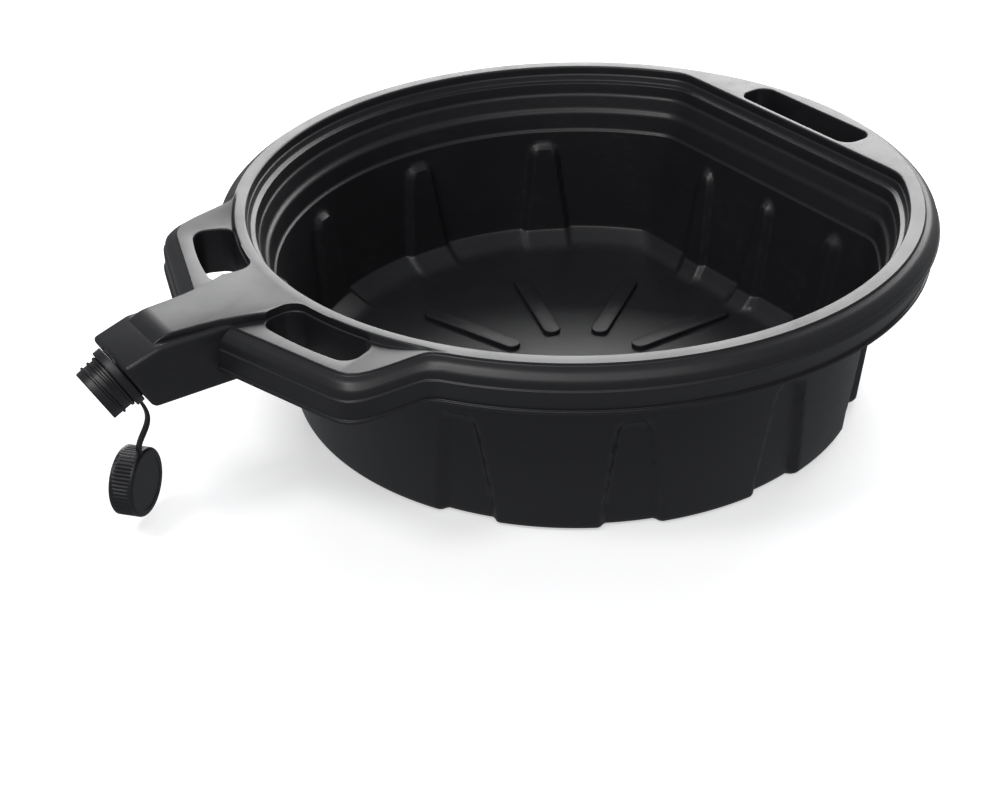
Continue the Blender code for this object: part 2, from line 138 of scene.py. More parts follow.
# Front grips
EAR_FRONT = (Vector((-0.9565, 0.2918)), 0.2785)
EAR_SIDE = (Vector((-0.1045, 0.9945)), 0.1510)
EAR_SHOULDER = 0.010
EAR_STEP = 0.005
EAR_START = 144.0
EAR_FULL = 156.0
SKIRT_DEPTH = 0.0315
EAR_SKIRT_DEPTH = 0.0335
SKIRT_FOOT = 0.55
STATION_STEP = 1.2  # degrees between cross-sections
FINE_STEP = 0.0022  # metres between them across a flute's sides
FLUTE_REACH = 1.12  # the arc that a flute's foot covers, measured at the opening, is this much wider
OPENING_SHARPNESS = 110.0  # how tightly the round and the flattened edge meet
EAR_SHARPNESS = 34.0
EAR_BLEND_SHARPNESS = 90.0


def smooth_share(value, start, end):
    share = min(1.0, max(0.0, (value - start) / (end - start)))
    return share * share * (3.0 - 2.0 * share)


def soft_min(a, b, sharpness):
    return (a**-sharpness + b**-sharpness) ** (-1.0 / sharpness)


def soft_max(a, b, sharpness):
    return (a**sharpness + b**sharpness) ** (1.0 / sharpness)


def opening_radius(angle, inset, flat_inset):
    """Distance from the axis to the bowl's inside, a circle with one flattened side towards +X."""
    circle = OPENING_RADIUS - inset
    towards_rear = math.cos(angle)
    if towards_rear < 0.2:
        return circle
    return soft_min(circle, (CHORD_X - flat_inset) / towards_rear, OPENING_SHARPNESS)


def line_radius(angle, line, grow):
    normal, distance = line
    across = math.cos(angle) * normal.x + abs(math.sin(angle)) * normal.y
    return (distance + grow) / across if across > 0.15 else 1.0


def outline_radius(angle, share):
    """Distance from the axis to the rim's outside; share runs from the band's edge, 0, to the skirt, 1."""
    rim = OPENING_RADIUS + BAND_WIDTH + SHOULDER * share
    if math.cos(angle) > -0.5:
        return rim
    grow = EAR_SHOULDER * share
    ear = soft_min(line_radius(angle, EAR_FRONT, grow), line_radius(angle, EAR_SIDE, grow), EAR_SHARPNESS)
    return soft_max(rim, ear, EAR_BLEND_SHARPNESS)


def signed_degrees(angle):
    return math.degrees(math.atan2(math.sin(angle), math.cos(angle)))


def flute(angle, radius, depth):
    """How far the wall is folded inwards: panels that widen downwards, with round tops and sloping sides."""
    degrees = signed_degrees(angle)
    down = min(max((depth - FLUTE_TOP) / (WALL_FOOT[2] - FLUTE_TOP), 0.0), 1.0)
    fold = 0.0
    for centres, half_widths in FLUTES:
        half_width = half_widths[0] + (half_widths[1] - half_widths[0]) * down
        for centre in centres:
            across = abs(math.radians(degrees - centre)) * radius - half_width
            above = FLUTE_TOP - depth
            from_corner = math.hypot(max(across + FLUTE_CORNER, 0.0), max(above + FLUTE_CORNER, 0.0))
            outside = from_corner - FLUTE_CORNER + min(max(across, above) + FLUTE_CORNER, 0.0)
            fold = max(fold, 1.0 - smooth_share(outside, -FLUTE_SIDE / 2, FLUTE_SIDE / 2))
    return FLUTE_DEPTH * fold


def wall_insets(depth):
    top = WALL_STEPS[-1]
    share = (depth - top[2]) / (WALL_FOOT[2] - top[2])
    return top[0] + share * (WALL_FOOT[0] - top[0]), top[1] + share * (WALL_FOOT[1] - top[1])


def round_corners(points, pieces=4):
    """Replaces each (radius, depth, rounding) corner with a curve that starts and ends that far from it."""
    result = []
    for i, (radius, depth, rounding) in enumerate(points):
        here = Vector((radius, depth))
        if rounding == 0 or i in (0, len(points) - 1):
            result.append(here)
            continue
        before = Vector(points[i - 1][:2]) - here
        after = Vector(points[i + 1][:2]) - here
        start = here + before * min(rounding / before.length, 0.49)
        end = here + after * min(rounding / after.length, 0.49)
        for k in range(pieces + 1):
            t = k / pieces
            result.append(start * (1 - t) ** 2 + here * 2 * t * (1 - t) + end * t * t)
    return result


def inside_profile(angle):
    """(radius, depth, rounding) up the inside, from the floor to the rim's inner edge."""
    def at(insets, depth):
        radius = opening_radius(angle, *insets)
        return radius - flute(angle, radius, depth), depth

    floor_edge = at(FLOOR_EDGE[:2], FLOOR_EDGE[2])
    points = [(floor_edge[0] - FLOOR_STRIP, FLOOR_EDGE[2], 0.0), (*floor_edge, FLOOR_EDGE_ROUNDING)]
    points.append((*at(FOOT_LEDGE[:2], FOOT_LEDGE[2]), FOOT_LEDGE_ROUNDING))
    points.append((*at(WALL_FOOT[:2], WALL_FOOT[2]), WALL_FOOT_ROUNDING))
    top = WALL_STEPS[-1][2]
    for row in range(1, WALL_ROWS):
        share = 1.0 - (1.0 - row / WALL_ROWS) ** ROW_CROWDING
        depth = WALL_FOOT[2] + (top - WALL_FOOT[2]) * share
        points.append((*at(wall_insets(depth), depth), 0.0))
    for inset, flat_inset, depth, rounding in reversed(WALL_STEPS):
        points.append((opening_radius(angle, inset, flat_inset), depth, rounding))
    return points


def outside_profile(angle):
    """(radius, depth, rounding) from the band over the shoulder, down the skirt and down the outside wall."""
    edge = opening_radius(angle, 0.0, 0.0)
    share = smooth_share(abs(signed_degrees(angle)), EAR_START, EAR_FULL)
    step = EAR_STEP * share
    skirt = SKIRT_DEPTH + (EAR_SKIRT_DEPTH - SKIRT_DEPTH) * share
    foot = SKIRT_FOOT + (1.0 - SKIRT_FOOT) * share
    points = [(edge + BAND_FLAT, 0.0, 0.0010), (edge + BAND_SLOPE, step, 0.0008)]
    for across, down, rounding in RIM_STEPS:
        points.append((outline_radius(angle, across), step + down, rounding))
    for across, down, rounding in SKIRT_STEPS:
        points.append((outline_radius(angle, foot + across), skirt + down, rounding))
    for across, down, rounding in (UNDER_SHOULDER, UNDER_BAND):
        points.append((outline_radius(angle, across), step + down, rounding))
    points.append((edge + WALL, step + WALL, 0.0))
    for index in OUTER_LEDGES:
        inset, flat_inset, depth = WALL_STEPS[index][:3]
        points.append((opening_radius(angle, inset, flat_inset) + WALL, depth, OUTER_LEDGE_ROUNDING))
    top = WALL_STEPS[-1][2]
    for row in range(WALL_ROWS + 1):
        depth = top + (BASE_EDGE_DEPTH - top) * (row / WALL_ROWS) ** ROW_CROWDING
        radius = opening_radius(angle, *wall_insets(depth))
        points.append((radius - flute(angle, radius, depth) + WALL, depth, 0.0))
    last = points.pop()[0]
    points.append((last, BASE_EDGE_DEPTH, BASE_EDGE_ROUNDING))
    points.append((last - BASE_EDGE_INSET, HEIGHT, BASE_ROUNDING))
    points.append((last - BASE_STRIP, HEIGHT, 0.0))
    return points


def station_angles():
    """Angles of the cross-sections, closer together across the flutes' sides."""
    fine = math.degrees(FINE_STEP / OPENING_RADIUS)
    dense = []
    for centres, half_widths in FLUTES:
        start = math.degrees((half_widths[0] - FLUTE_SIDE) / OPENING_RADIUS)
        end = math.degrees((half_widths[1] + FLUTE_SIDE) / OPENING_RADIUS) * FLUTE_REACH
        count = math.ceil((end - start) / fine)
        for centre in centres:
            for k in range(count + 1):
                offset = start + (end - start) * k / count
                dense += [round(centre + offset, 4), round(centre - offset, 4)]
    even = [STATION_STEP * i - 180.0 for i in range(round(360 / STATION_STEP))]
    clear = [angle for angle in even if min(abs(angle - other) for other in dense) > STATION_STEP / 2]
    return [math.radians(angle) for angle in sorted(dense + clear)]


def revolve_sections(sections, start_height, end_height):
    """Closed mesh through one (radius, depth) section per angle, with a pole on the axis at each end."""
    bm = bmesh.new()
    rings = []
    for angle, section in sections:
        direction = Vector((math.cos(angle), math.sin(angle), 0.0))
        places = [direction * radius + Vector((0, 0, HEIGHT - depth)) for radius, depth in section]
        rings.append([bm.verts.new(place) for place in places])
    first = bm.verts.new((0, 0, start_height))
    last = bm.verts.new((0, 0, end_height))
    for ring, following in zip(rings, rings[1:] + rings[:1], strict=True):
        bm.faces.new((first, ring[0], following[0]))
        bm.faces.new((last, following[-1], ring[-1]))
        for a, b, c, d in zip(ring, ring[1:], following[1:], following, strict=False):
            bm.faces.new((a, b, c, d))
    return bm


EDGE_PIECES = 4  # faces round a rounded edge
STRAP_SHARP_ANGLE = 40.0
SHARP_ANGLE = 32.0  # degrees between faces from which an edge is shaded sharp


def face_outwards(bm):
    bmesh.ops.recalc_face_normals(bm, faces=bm.faces)
    if bm.calc_volume(signed=True) < 0:
        bmesh.ops.reverse_faces(bm, faces=bm.faces)


def object_from(bm, name):
    face_outwards(bm)
    mesh = bpy.data.meshes.new(name)
    bm.to_mesh(mesh)
    bm.free()
    made = bpy.data.objects.new(name, mesh)
    bpy.context.scene.collection.objects.link(made)
    return made


def combine(target, bm, operation):
    """Adds or cuts one closed shape, at once."""
    other = object_from(bm, "cutter")
    step = target.modifiers.new("cutter", "BOOLEAN")
    step.operation = operation
    step.object = other
    step.solver = "MANIFOLD"
    bpy.context.view_layer.update()
    evaluated = target.evaluated_get(bpy.context.evaluated_depsgraph_get())
    mesh = bpy.data.meshes.new_from_object(evaluated)
    target.modifiers.clear()
    old = target.data
    target.data = mesh
    bpy.data.meshes.remove(old)
    bpy.data.meshes.remove(other.data)


def finish_piece(piece, body, slot, material, *replaced):
    """Shades a piece smooth, gives it its material and puts it on its body."""
    bm = bmesh.new()
    bm.from_mesh(piece.data)
    bmesh.ops.remove_doubles(bm, verts=bm.verts, dist=1e-6)
    bmesh.ops.dissolve_degenerate(bm, edges=bm.edges, dist=1e-6)
    bm.to_mesh(piece.data)
    bm.free()
    piece.data.shade_smooth()
    piece.data.set_sharp_from_angle(angle=math.radians(SHARP_ANGLE))
    piece.data.materials.clear()
    piece.data.materials.append(material)
    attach(piece, body)
    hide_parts(*replaced)


def round_edges(bm, edges, edge):
    bmesh.ops.bevel(
        bm, geom=edges, offset=edge, segments=EDGE_PIECES, profile=0.5, affect="EDGES", clamp_overlap=True
    )


def prism(outline, low, high, edge):
    """Upright prism on a plan outline, with a rounded top edge."""
    bm = bmesh.new()
    base = bm.faces.new([bm.verts.new((x, y, low)) for x, y in outline])
    raised = bmesh.ops.extrude_face_region(bm, geom=[base])
    moved = [item for item in raised["geom"] if isinstance(item, bmesh.types.BMVert)]
    bmesh.ops.translate(bm, verts=moved, vec=(0, 0, high - low))
    face_outwards(bm)
    round_edges(bm, [e for e in bm.edges if all(abs(v.co.z - high) < 1e-7 for v in e.verts)], edge)
    return bm


def side_prism(outline, half_width, edge):
    """Prism across Y on a side outline of (x, depth) points, with all its edges rounded."""
    bm = bmesh.new()
    side = bm.faces.new([bm.verts.new((x, -half_width, HEIGHT - depth)) for x, depth in outline])
    raised = bmesh.ops.extrude_face_region(bm, geom=[side])
    moved = [item for item in raised["geom"] if isinstance(item, bmesh.types.BMVert)]
    bmesh.ops.translate(bm, verts=moved, vec=(0, 2 * half_width, 0))
    face_outwards(bm)
    round_edges(bm, bm.edges[:], edge)
    return bm


def join_rings(bm, ring, following):
    for k, point in enumerate(ring):
        after = (k + 1) % len(ring)
        bm.faces.new((point, ring[after], following[after], following[k]))


def loft(outlines):
    """Closed shape through (outline, height) levels that have the same number of points."""
    bm = bmesh.new()
    levels = [[bm.verts.new((x, y, height)) for x, y in outline] for outline, height in outlines]
    for lower, upper in zip(levels, levels[1:], strict=False):
        join_rings(bm, lower, upper)
    bm.faces.new(levels[0][::-1])
    bm.faces.new(levels[-1])
    return bm


# Grip slots
EAR_SLOT_RADIUS = 0.2552
EAR_SLOT_ANGLE = 164.55  # degrees from +X to the slot's middle, on both sides of the spout
EAR_SLOT_HALF_LENGTH = 0.0378
REAR_SLOT_X = 0.2168
REAR_SLOT_HALF_LENGTH = 0.060
SLOT_HALF_WIDTH = 0.014
SLOT_CORNER = 0.0105
SLOT_LIP = 0.0022  # thickness of the turned-down edge round a slot
SLOT_LIP_TOP = 0.001  # below the surface that the slot is in
SLOT_LIP_DEPTH = 0.032
SLOT_EDGE = 0.0012  # rounding where the surface turns down into a slot
EAR_SLOT_FLOOR = 0.060  # depth that the cut of a front slot reaches
REAR_SLOT_FLOOR = 0.038


def slot_outline(half_length, grow):
    """(along, across) points of a grip slot with rounded corners, made this much larger all round."""
    half_width = SLOT_HALF_WIDTH + grow
    corner = SLOT_CORNER + grow
    reach = half_length + grow - corner
    points = []
    for along, across, first in ((1, 1, 0), (-1, 1, 90), (-1, -1, 180), (1, -1, 270)):
        for degrees in range(0, 91, 10):
            turn = math.radians(first + degrees)
            offset = across * (half_width - corner)
            points.append((along * reach + corner * math.cos(turn), offset + corner * math.sin(turn)))
        if along == across:
            points += [(along * reach * share / 8, across * half_width) for share in range(7, -8, -1)]
    return points


def front_slot(side, grow):
    points = []
    for along, across in slot_outline(EAR_SLOT_HALF_LENGTH, grow):
        angle = math.radians(EAR_SLOT_ANGLE) + along / EAR_SLOT_RADIUS
        radius = EAR_SLOT_RADIUS + across
        points.append((radius * math.cos(angle), side * radius * math.sin(angle)))
    return points


def rear_slot(grow):
    return [(REAR_SLOT_X + across, along) for along, across in slot_outline(REAR_SLOT_HALF_LENGTH, grow)]


def cut_slot(pan, outline, step, deepest):
    """Turns the surface down into a slot: a lip round it, then the hole with a rounded upper edge."""
    top = HEIGHT - step
    lip_top = top - SLOT_LIP_TOP
    lip = loft([(outline(SLOT_LIP), lip_top - SLOT_LIP_DEPTH), (outline(SLOT_LIP), lip_top)])
    combine(pan, lip, "UNION")
    levels = [(outline(0.0), HEIGHT - deepest)]
    for k in range(7):
        turn = math.radians(15 * k)
        levels.append((outline(SLOT_EDGE * (1 - math.cos(turn))), top - SLOT_EDGE * (1 - math.sin(turn))))
    levels.append((outline(SLOT_EDGE * 1.02), HEIGHT + ABOVE))
    combine(pan, loft(levels), "DIFFERENCE")


# Spout
SPOUT_HALF_WIDTH = 0.026
SPOUT_SIDE = ((-0.205, 0.004), (-0.331, 0.004), (-0.356, 0.012), (-0.3395, 0.0450), (-0.205, 0.0450))
SPOUT_EDGE = 0.0035
CHANNEL_SIDE = ((-0.205, 0.008), (-0.330, 0.008), (-0.3525, 0.0145), (-0.3385, 0.0420), (-0.205, 0.0420))
PLATE_HALF = (
    (-0.345, 0.0186), (-0.331, 0.019), (-0.318, 0.0198), (-0.302, 0.0212), (-0.290, 0.0228), (-0.278, 0.026),
    (-0.266, 0.0297), (-0.256, 0.0343), (-0.248, 0.0402), (-0.242, 0.048), (-0.234, 0.060), (-0.225, 0.075),
)
PLATE_TOP = 0.00003
PLATE_UNDERSIDE = 0.0095
PLATE_EDGE = 0.0012
PLATE_BEND = -0.319  # where the plate starts to curve down towards the outlet
PLATE_BEND_RADIUS = 0.020
PLATE_SLICES = 8
PLATE_SLICE = 0.003
CHANNEL_EDGE = 0.002


def curve_down(plate):
    """Slices the plate's end across and lowers each slice, so that it follows the spout's sloping end."""
    for k in range(PLATE_SLICES):
        cut = PLATE_BEND - PLATE_SLICE * k
        geometry = [*plate.verts, *plate.edges, *plate.faces]
        bmesh.ops.bisect_plane(plate, geom=geometry, plane_co=(cut, 0, 0), plane_no=(1, 0, 0), dist=1e-7)
    for vert in plate.verts:
        beyond = max(0.0, PLATE_BEND - vert.co.x)
        vert.co.z -= beyond**2 / (2 * PLATE_BEND_RADIUS)


def spout(pan, cavity):
    box = side_prism(SPOUT_SIDE, SPOUT_HALF_WIDTH, SPOUT_EDGE)
    box = object_from(box, "spout")
    combine(box, cavity.copy(), "DIFFERENCE")
    outline = [*PLATE_HALF, *((x, -y) for x, y in reversed(PLATE_HALF))]
    plate = prism(outline, HEIGHT - PLATE_UNDERSIDE, HEIGHT - PLATE_TOP, PLATE_EDGE)
    curve_down(plate)
    plate = object_from(plate, "plate")
    combine(plate, cavity, "DIFFERENCE")
    for made in (box, plate):
        bm = bmesh.new()
        bm.from_mesh(made.data)
        bpy.data.meshes.remove(made.data)
        combine(pan, bm, "UNION")
    channel = side_prism(CHANNEL_SIDE, SPOUT_HALF_WIDTH - WALL, CHANNEL_EDGE)
    combine(pan, channel, "DIFFERENCE")


# Neck, in line with the joint that the tether's ring turns on
NECK_AXIS = Vector(JOINTS["ring_turn"]["axis"]).normalized()
RING_CENTRE = Vector(JOINTS["ring_turn"]["pos_m"])
RING_ALONG = 0.0035  # from the outlet face to the ring's centre
NECK_RADIUS = 0.0180
NECK_BORE = 0.0145
NECK_LENGTH = 0.0225
NECK_ROOT = 0.002  # how far the neck starts inside the outlet face
NECK_FILLET = 0.0006
NECK_LIP_EDGE = 0.0008
BORE_START = 0.008  # how far inside the outlet face the bore's cutter starts
BEAD_RADIUS = 0.0192
BEAD = (0.0070, 0.0088)
THREAD_RADIUS = 0.0192
THREAD_START = 0.0108
THREAD_PITCH = 0.0048
THREAD_TURNS = 1.75


def neck_matrix(along):
    """Placement on the neck's axis, this far out of the outlet face, with local +Z along the neck."""
    place = RING_CENTRE + NECK_AXIS * (along - RING_ALONG)
    return Matrix.Translation(place) @ NECK_AXIS.to_track_quat("Z", "Y").to_matrix().to_4x4()


def turned(profile, steps=96):
    """Closed solid turned round local Z from a closed (radius, height) outline that stays off the axis."""
    bm = bmesh.new()
    rings = []
    for i in range(steps):
        turn = math.tau * i / steps
        rings.append([bm.verts.new((r * math.cos(turn), r * math.sin(turn), z)) for r, z in profile])
    for ring, following in zip(rings, rings[1:] + rings[:1], strict=True):
        for k, point in enumerate(ring):
            after = (k + 1) % len(ring)
            bm.faces.new((point, following[k], following[after], ring[after]))
    return bm


def turned_solid(profile, steps=96):
    """Closed solid turned round local Z from a (radius, height) outline whose two ends lie on the axis."""
    bm = bmesh.new()
    first = bm.verts.new((0, 0, profile[0][1]))
    last = bm.verts.new((0, 0, profile[-1][1]))
    rings = []
    for i in range(steps):
        turn = math.tau * i / steps
        rings.append([bm.verts.new((r * math.cos(turn), r * math.sin(turn), z)) for r, z in profile[1:-1]])
    for ring, following in zip(rings, rings[1:] + rings[:1], strict=True):
        bm.faces.new((first, ring[0], following[0]))
        bm.faces.new((last, following[-1], ring[-1]))
        for a, b, c, d in zip(ring, ring[1:], following[1:], following, strict=False):
            bm.faces.new((a, b, c, d))
    return bm


def thread_ridge(root, crest, start, pitch, turns, thickness=0.0022, steps=60):
    """Helical ridge that rises from the root at one end and sinks into it at the other."""
    bm = bmesh.new()
    count = round(turns * steps)
    sink = 0.0008 if crest > root else -0.0008
    rings = []
    for i in range(count + 1):
        turn = math.tau * i / steps
        height = start + pitch * i / steps
        rise = smooth_share(min(i, count - i), 0, steps / 8)
        top = root + (crest - root) * rise
        half = thickness / 2
        section = (
            (root - sink, -half), (root, -half), (top, -half * 0.45),
            (top, half * 0.45), (root, half), (root - sink, half),
        )
        rings.append([bm.verts.new((r * math.cos(turn), r * math.sin(turn), height + z)) for r, z in section])
    for ring, following in zip(rings, rings[1:], strict=False):
        for k, point in enumerate(ring):
            after = (k + 1) % len(ring)
            bm.faces.new((point, following[k], following[after], ring[after]))
    bm.faces.new(rings[0][::-1])
    bm.faces.new(rings[-1])
    return bm


def neck(pan):
    """The neck with its filleted root, its bead and its rounded lip, then the thread and the bore."""
    low, high = BEAD
    root = NECK_RADIUS + NECK_FILLET
    profile = [(0.0, -NECK_ROOT), (root, -NECK_ROOT), (root, 0.0), (NECK_RADIUS, NECK_FILLET)]
    profile += [(NECK_RADIUS, low - 0.0004), (BEAD_RADIUS - 0.0003, low), (BEAD_RADIUS, low + 0.0004)]
    profile += [(BEAD_RADIUS, high - 0.0004), (BEAD_RADIUS - 0.0003, high), (NECK_RADIUS, high + 0.0005)]
    for k in range(5):
        turn = math.radians(22.5 * k)
        inwards = NECK_LIP_EDGE * (1 - math.cos(turn))
        profile.append((NECK_RADIUS - inwards, NECK_LENGTH - NECK_LIP_EDGE * (1 - math.sin(turn))))
    profile.append((0.0, NECK_LENGTH))
    stub = turned_solid(profile)
    stub.transform(neck_matrix(0.0))
    combine(pan, stub, "UNION")
    ridge = thread_ridge(NECK_RADIUS, THREAD_RADIUS, THREAD_START, THREAD_PITCH, THREAD_TURNS)
    ridge.transform(neck_matrix(0.0))
    combine(pan, ridge, "UNION")
    bore = [(0.0, -BORE_START), (NECK_BORE, -BORE_START), (NECK_BORE, NECK_LENGTH - 0.0008)]
    bore += [(NECK_BORE + 0.0003, NECK_LENGTH - 0.0003), (NECK_BORE + 0.0009, NECK_LENGTH)]
    bore += [(NECK_BORE + 0.0009, NECK_LENGTH + 0.004), (0.0, NECK_LENGTH + 0.004)]
    hole = turned_solid(bore)
    hole.transform(neck_matrix(0.0))
    combine(pan, hole, "DIFFERENCE")


# Floor
FLOOR_CENTRE = (-0.006, -0.009)  # middle of the ribs and the disc
FLOOR_RIBS = 10
FLOOR_RIB = (0.054, 0.146, 0.0135, 0.0034)  # inner radius, outer radius, width, height
FLOOR_RIB_EDGE = 0.0008
FLOOR_DISC = (0.050, 0.0022)  # radius, height


def floor_shapes(pan):
    """Ribs with rounded ends that point at the floor's middle, and the slightly crowned disc there."""
    inner_radius, outer_radius, width, height = FLOOR_RIB
    floor = HEIGHT - FLOOR_EDGE[2]
    half = width / 2
    for i in range(FLOOR_RIBS):
        outline = []
        for degrees in range(90, 271, 18):
            turn = math.radians(degrees)
            outline.append((inner_radius + half * (1 + math.cos(turn)), half * math.sin(turn)))
        for degrees in range(-90, 91, 18):
            turn = math.radians(degrees)
            outline.append((outer_radius - half * (1 - math.cos(turn)), half * math.sin(turn)))
        rib = prism(outline, floor - OVERLAP, floor + height, FLOOR_RIB_EDGE)
        rib.transform(Matrix.Rotation(math.tau * i / FLOOR_RIBS, 4, "Z"))
        rib.transform(Matrix.Translation((*FLOOR_CENTRE, 0.0)))
        combine(pan, rib, "UNION")
    radius, rise = FLOOR_DISC
    disc = turned_solid(
        [
            (0.0, floor - OVERLAP), (radius, floor - OVERLAP), (radius, floor + rise * 0.4),
            (radius - 0.0008, floor + rise), (radius - 0.006, floor + rise + 0.0002),
            (0.0, floor + rise + 0.0002),
        ]
    )
    disc.transform(Matrix.Translation((*FLOOR_CENTRE, 0.0)))
    combine(pan, disc, "UNION")


def pan_shape():
    """The whole moulding: bowl, rim and skirt in one, then floor, spout, grip slots and neck."""
    sections = []
    cavity_sections = []
    for angle in station_angles():
        inside = inside_profile(angle)
        sections.append((angle, round_corners([*inside, *outside_profile(angle)])))
        space = [(point[0] + WALL / 2, point[1]) for point in inside]
        cavity_sections.append((angle, [*space, (space[-1][0], -ABOVE)]))
    floor = HEIGHT - FLOOR_EDGE[2]
    pan = object_from(revolve_sections(sections, floor, 0.0), "pan")
    cavity = revolve_sections(cavity_sections, floor, HEIGHT + ABOVE)
    floor_shapes(pan)
    spout(pan, cavity)
    for side in (1, -1):
        cut_slot(pan, lambda grow, side=side: front_slot(side, grow), EAR_STEP, EAR_SLOT_FLOOR)
    cut_slot(pan, rear_slot, 0.0, REAR_SLOT_FLOOR)
    neck(pan)
    return pan


# Tether: the ring behind the neck's bead, and the flat strap down to the cap
RING_INNER = 0.0183
RING_OUTER = 0.0212
RING_SPAN = (0.0006, 0.0064)
RING_EDGE = 0.0006
STRAP_WIDTH = 0.0052
STRAP_THICKNESS = 0.0021
STRAP_LEAD = 0.042
STRAP_DROP = 0.036
STRAP_BOW = 0.003
STRAP_POINTS = 49
STRAP_REACH = 0.0012  # how far the strap's ends run into the tabs that they join
STRAP_EDGE = 0.0007
STRAP_FLARE = 0.35
TAB_LENGTH = 0.0019
CAP_TAB_LENGTH = 0.0016
STRAP_ROOT = Vector(JOINTS["strap_swing"]["pos_m"])
STRAP_FOOT = Vector(JOINTS["cap_twist"]["pos_m"])
HANG = Vector((-NECK_AXIS.z, 0.0, NECK_AXIS.x))  # square to the neck, downwards


def rounded_box_outline(low, high, edge, steps=4):
    """Closed (x, y) outline of a rectangle with rounded corners."""
    points = []
    left, bottom = low[0] + edge, low[1] + edge
    right, top = high[0] - edge, high[1] - edge
    for x, y, first in ((right, top, 0), (left, top, 90), (left, bottom, 180), (right, bottom, 270)):
        for k in range(steps + 1):
            turn = math.radians(first + 90 * k / steps)
            points.append((x + edge * math.cos(turn), y + edge * math.sin(turn)))
    return points


def tab(place, direction, length):
    """Small rounded lug that the strap joins, standing both ways from its place."""
    outline = rounded_box_outline(
        (-STRAP_THICKNESS / 2, -STRAP_WIDTH / 2), (STRAP_THICKNESS / 2, STRAP_WIDTH / 2), STRAP_EDGE
    )
    bm = loft([(outline, -length), (outline, length)])
    bm.transform(direction.to_track_quat("Z", "Y").to_matrix().to_4x4())
    bm.transform(Matrix.Translation(place))
    return bm


def tether_ring():
    outline = rounded_box_outline((RING_INNER, RING_SPAN[0]), (RING_OUTER, RING_SPAN[1]), RING_EDGE)
    bm = turned(outline)
    bm.transform(neck_matrix(0.0))
    ring = object_from(bm, "tether_ring_moulded")
    combine(ring, tab(RING_CENTRE + HANG * RING_OUTER, HANG, TAB_LENGTH), "UNION")
    return ring


def strap_middle(t):
    """Point this far down the strap: out of the ring, bowed towards the pan, and straight down to the cap."""
    ends = STRAP_ROOT * (2 * t**3 - 3 * t**2 + 1) + STRAP_FOOT * (3 * t**2 - 2 * t**3)
    pulls = HANG * STRAP_LEAD * (t**3 - 2 * t**2 + t) + Vector((0, 0, -STRAP_DROP)) * (t**3 - t**2)
    return ends + pulls + Vector((STRAP_BOW * math.sin(math.pi * t) ** 2, 0.0, 0.0))


def strap_half(name, first, last):
    """Stretch of the strap between two shares of its length, running into what it joins at its ends."""
    count = (STRAP_POINTS - 1) // 2
    rings = []
    bm = bmesh.new()
    for i in range(count + 1):
        share = first + (last - first) * i / count
        place = strap_middle(share)
        ahead = (strap_middle(min(share + 0.01, 1.0)) - strap_middle(max(share - 0.01, 0.0))).normalized()
        if share == 0.0:
            place -= ahead * STRAP_REACH
        if share == 1.0:
            place += ahead * STRAP_REACH
        side = Vector((ahead.z, 0.0, -ahead.x))
        flare = 1.0 + STRAP_FLARE * (1.0 - smooth_share(min(share, 1.0 - share), 0.0, 0.10))
        half = Vector((STRAP_THICKNESS / 2, STRAP_WIDTH / 2 * flare))
        outline = rounded_box_outline((-half.x, -half.y), (half.x, half.y), STRAP_EDGE)
        rings.append([bm.verts.new(place + side * x + Vector((0, y, 0))) for x, y in outline])
    for ring, following in zip(rings, rings[1:], strict=False):
        join_rings(bm, ring, following)
    bm.faces.new(rings[0][::-1])
    bm.faces.new(rings[-1])
    return object_from(bm, name)


# Cap
CAP_LOW, CAP_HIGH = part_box("spout_cap")
CAP_RADIUS = 0.0230
CAP_HEIGHT = 0.0165
CAP_BORE = 0.0197
CAP_TOP = 0.0030
CAP_FACING = math.radians(-49.0)  # turn from +X that the closed face points to
CAP_EDGE = 0.0020  # rounding round the closed face
CAP_THREAD_HEIGHT = 0.0009
CAP_THREAD_START = 0.0030
CAP_THREAD_TURNS = 1.4
CAP_CENTRE = Vector(((CAP_LOW.x + CAP_HIGH.x) / 2, (CAP_LOW.y + CAP_HIGH.y) / 2, CAP_LOW.z + CAP_RADIUS))
KNURLS = 54
KNURL_DEPTH = 0.0007
SEAL_THICKNESS = 0.0012
SEAL_RIDGE = 0.0003
CLEARANCE = 0.0003


def cap_matrix():
    """Placement at the cap's middle, with local +Z towards its closed face."""
    facing = Vector((math.cos(CAP_FACING), math.sin(CAP_FACING), 0.0))
    return Matrix.Translation(CAP_CENTRE) @ facing.to_track_quat("Z", "X").to_matrix().to_4x4()


def knurl(bm):
    """Presses upright grooves into the cap's side, between its rim and its closed end."""
    half = CAP_HEIGHT / 2
    for vert in bm.verts:
        radius = math.hypot(vert.co.x, vert.co.y)
        if radius < CAP_RADIUS - 0.0004:
            continue
        level = smooth_share(vert.co.z, -half + 0.0026, -half + 0.0034)
        level *= 1.0 - smooth_share(vert.co.z, half - 0.0032, half - 0.0022)
        groove = 1.0 - abs(math.cos(KNURLS / 2 * math.atan2(vert.co.y, vert.co.x)))
        scale = 1.0 - KNURL_DEPTH * groove * level / radius
        vert.co.x *= scale
        vert.co.y *= scale


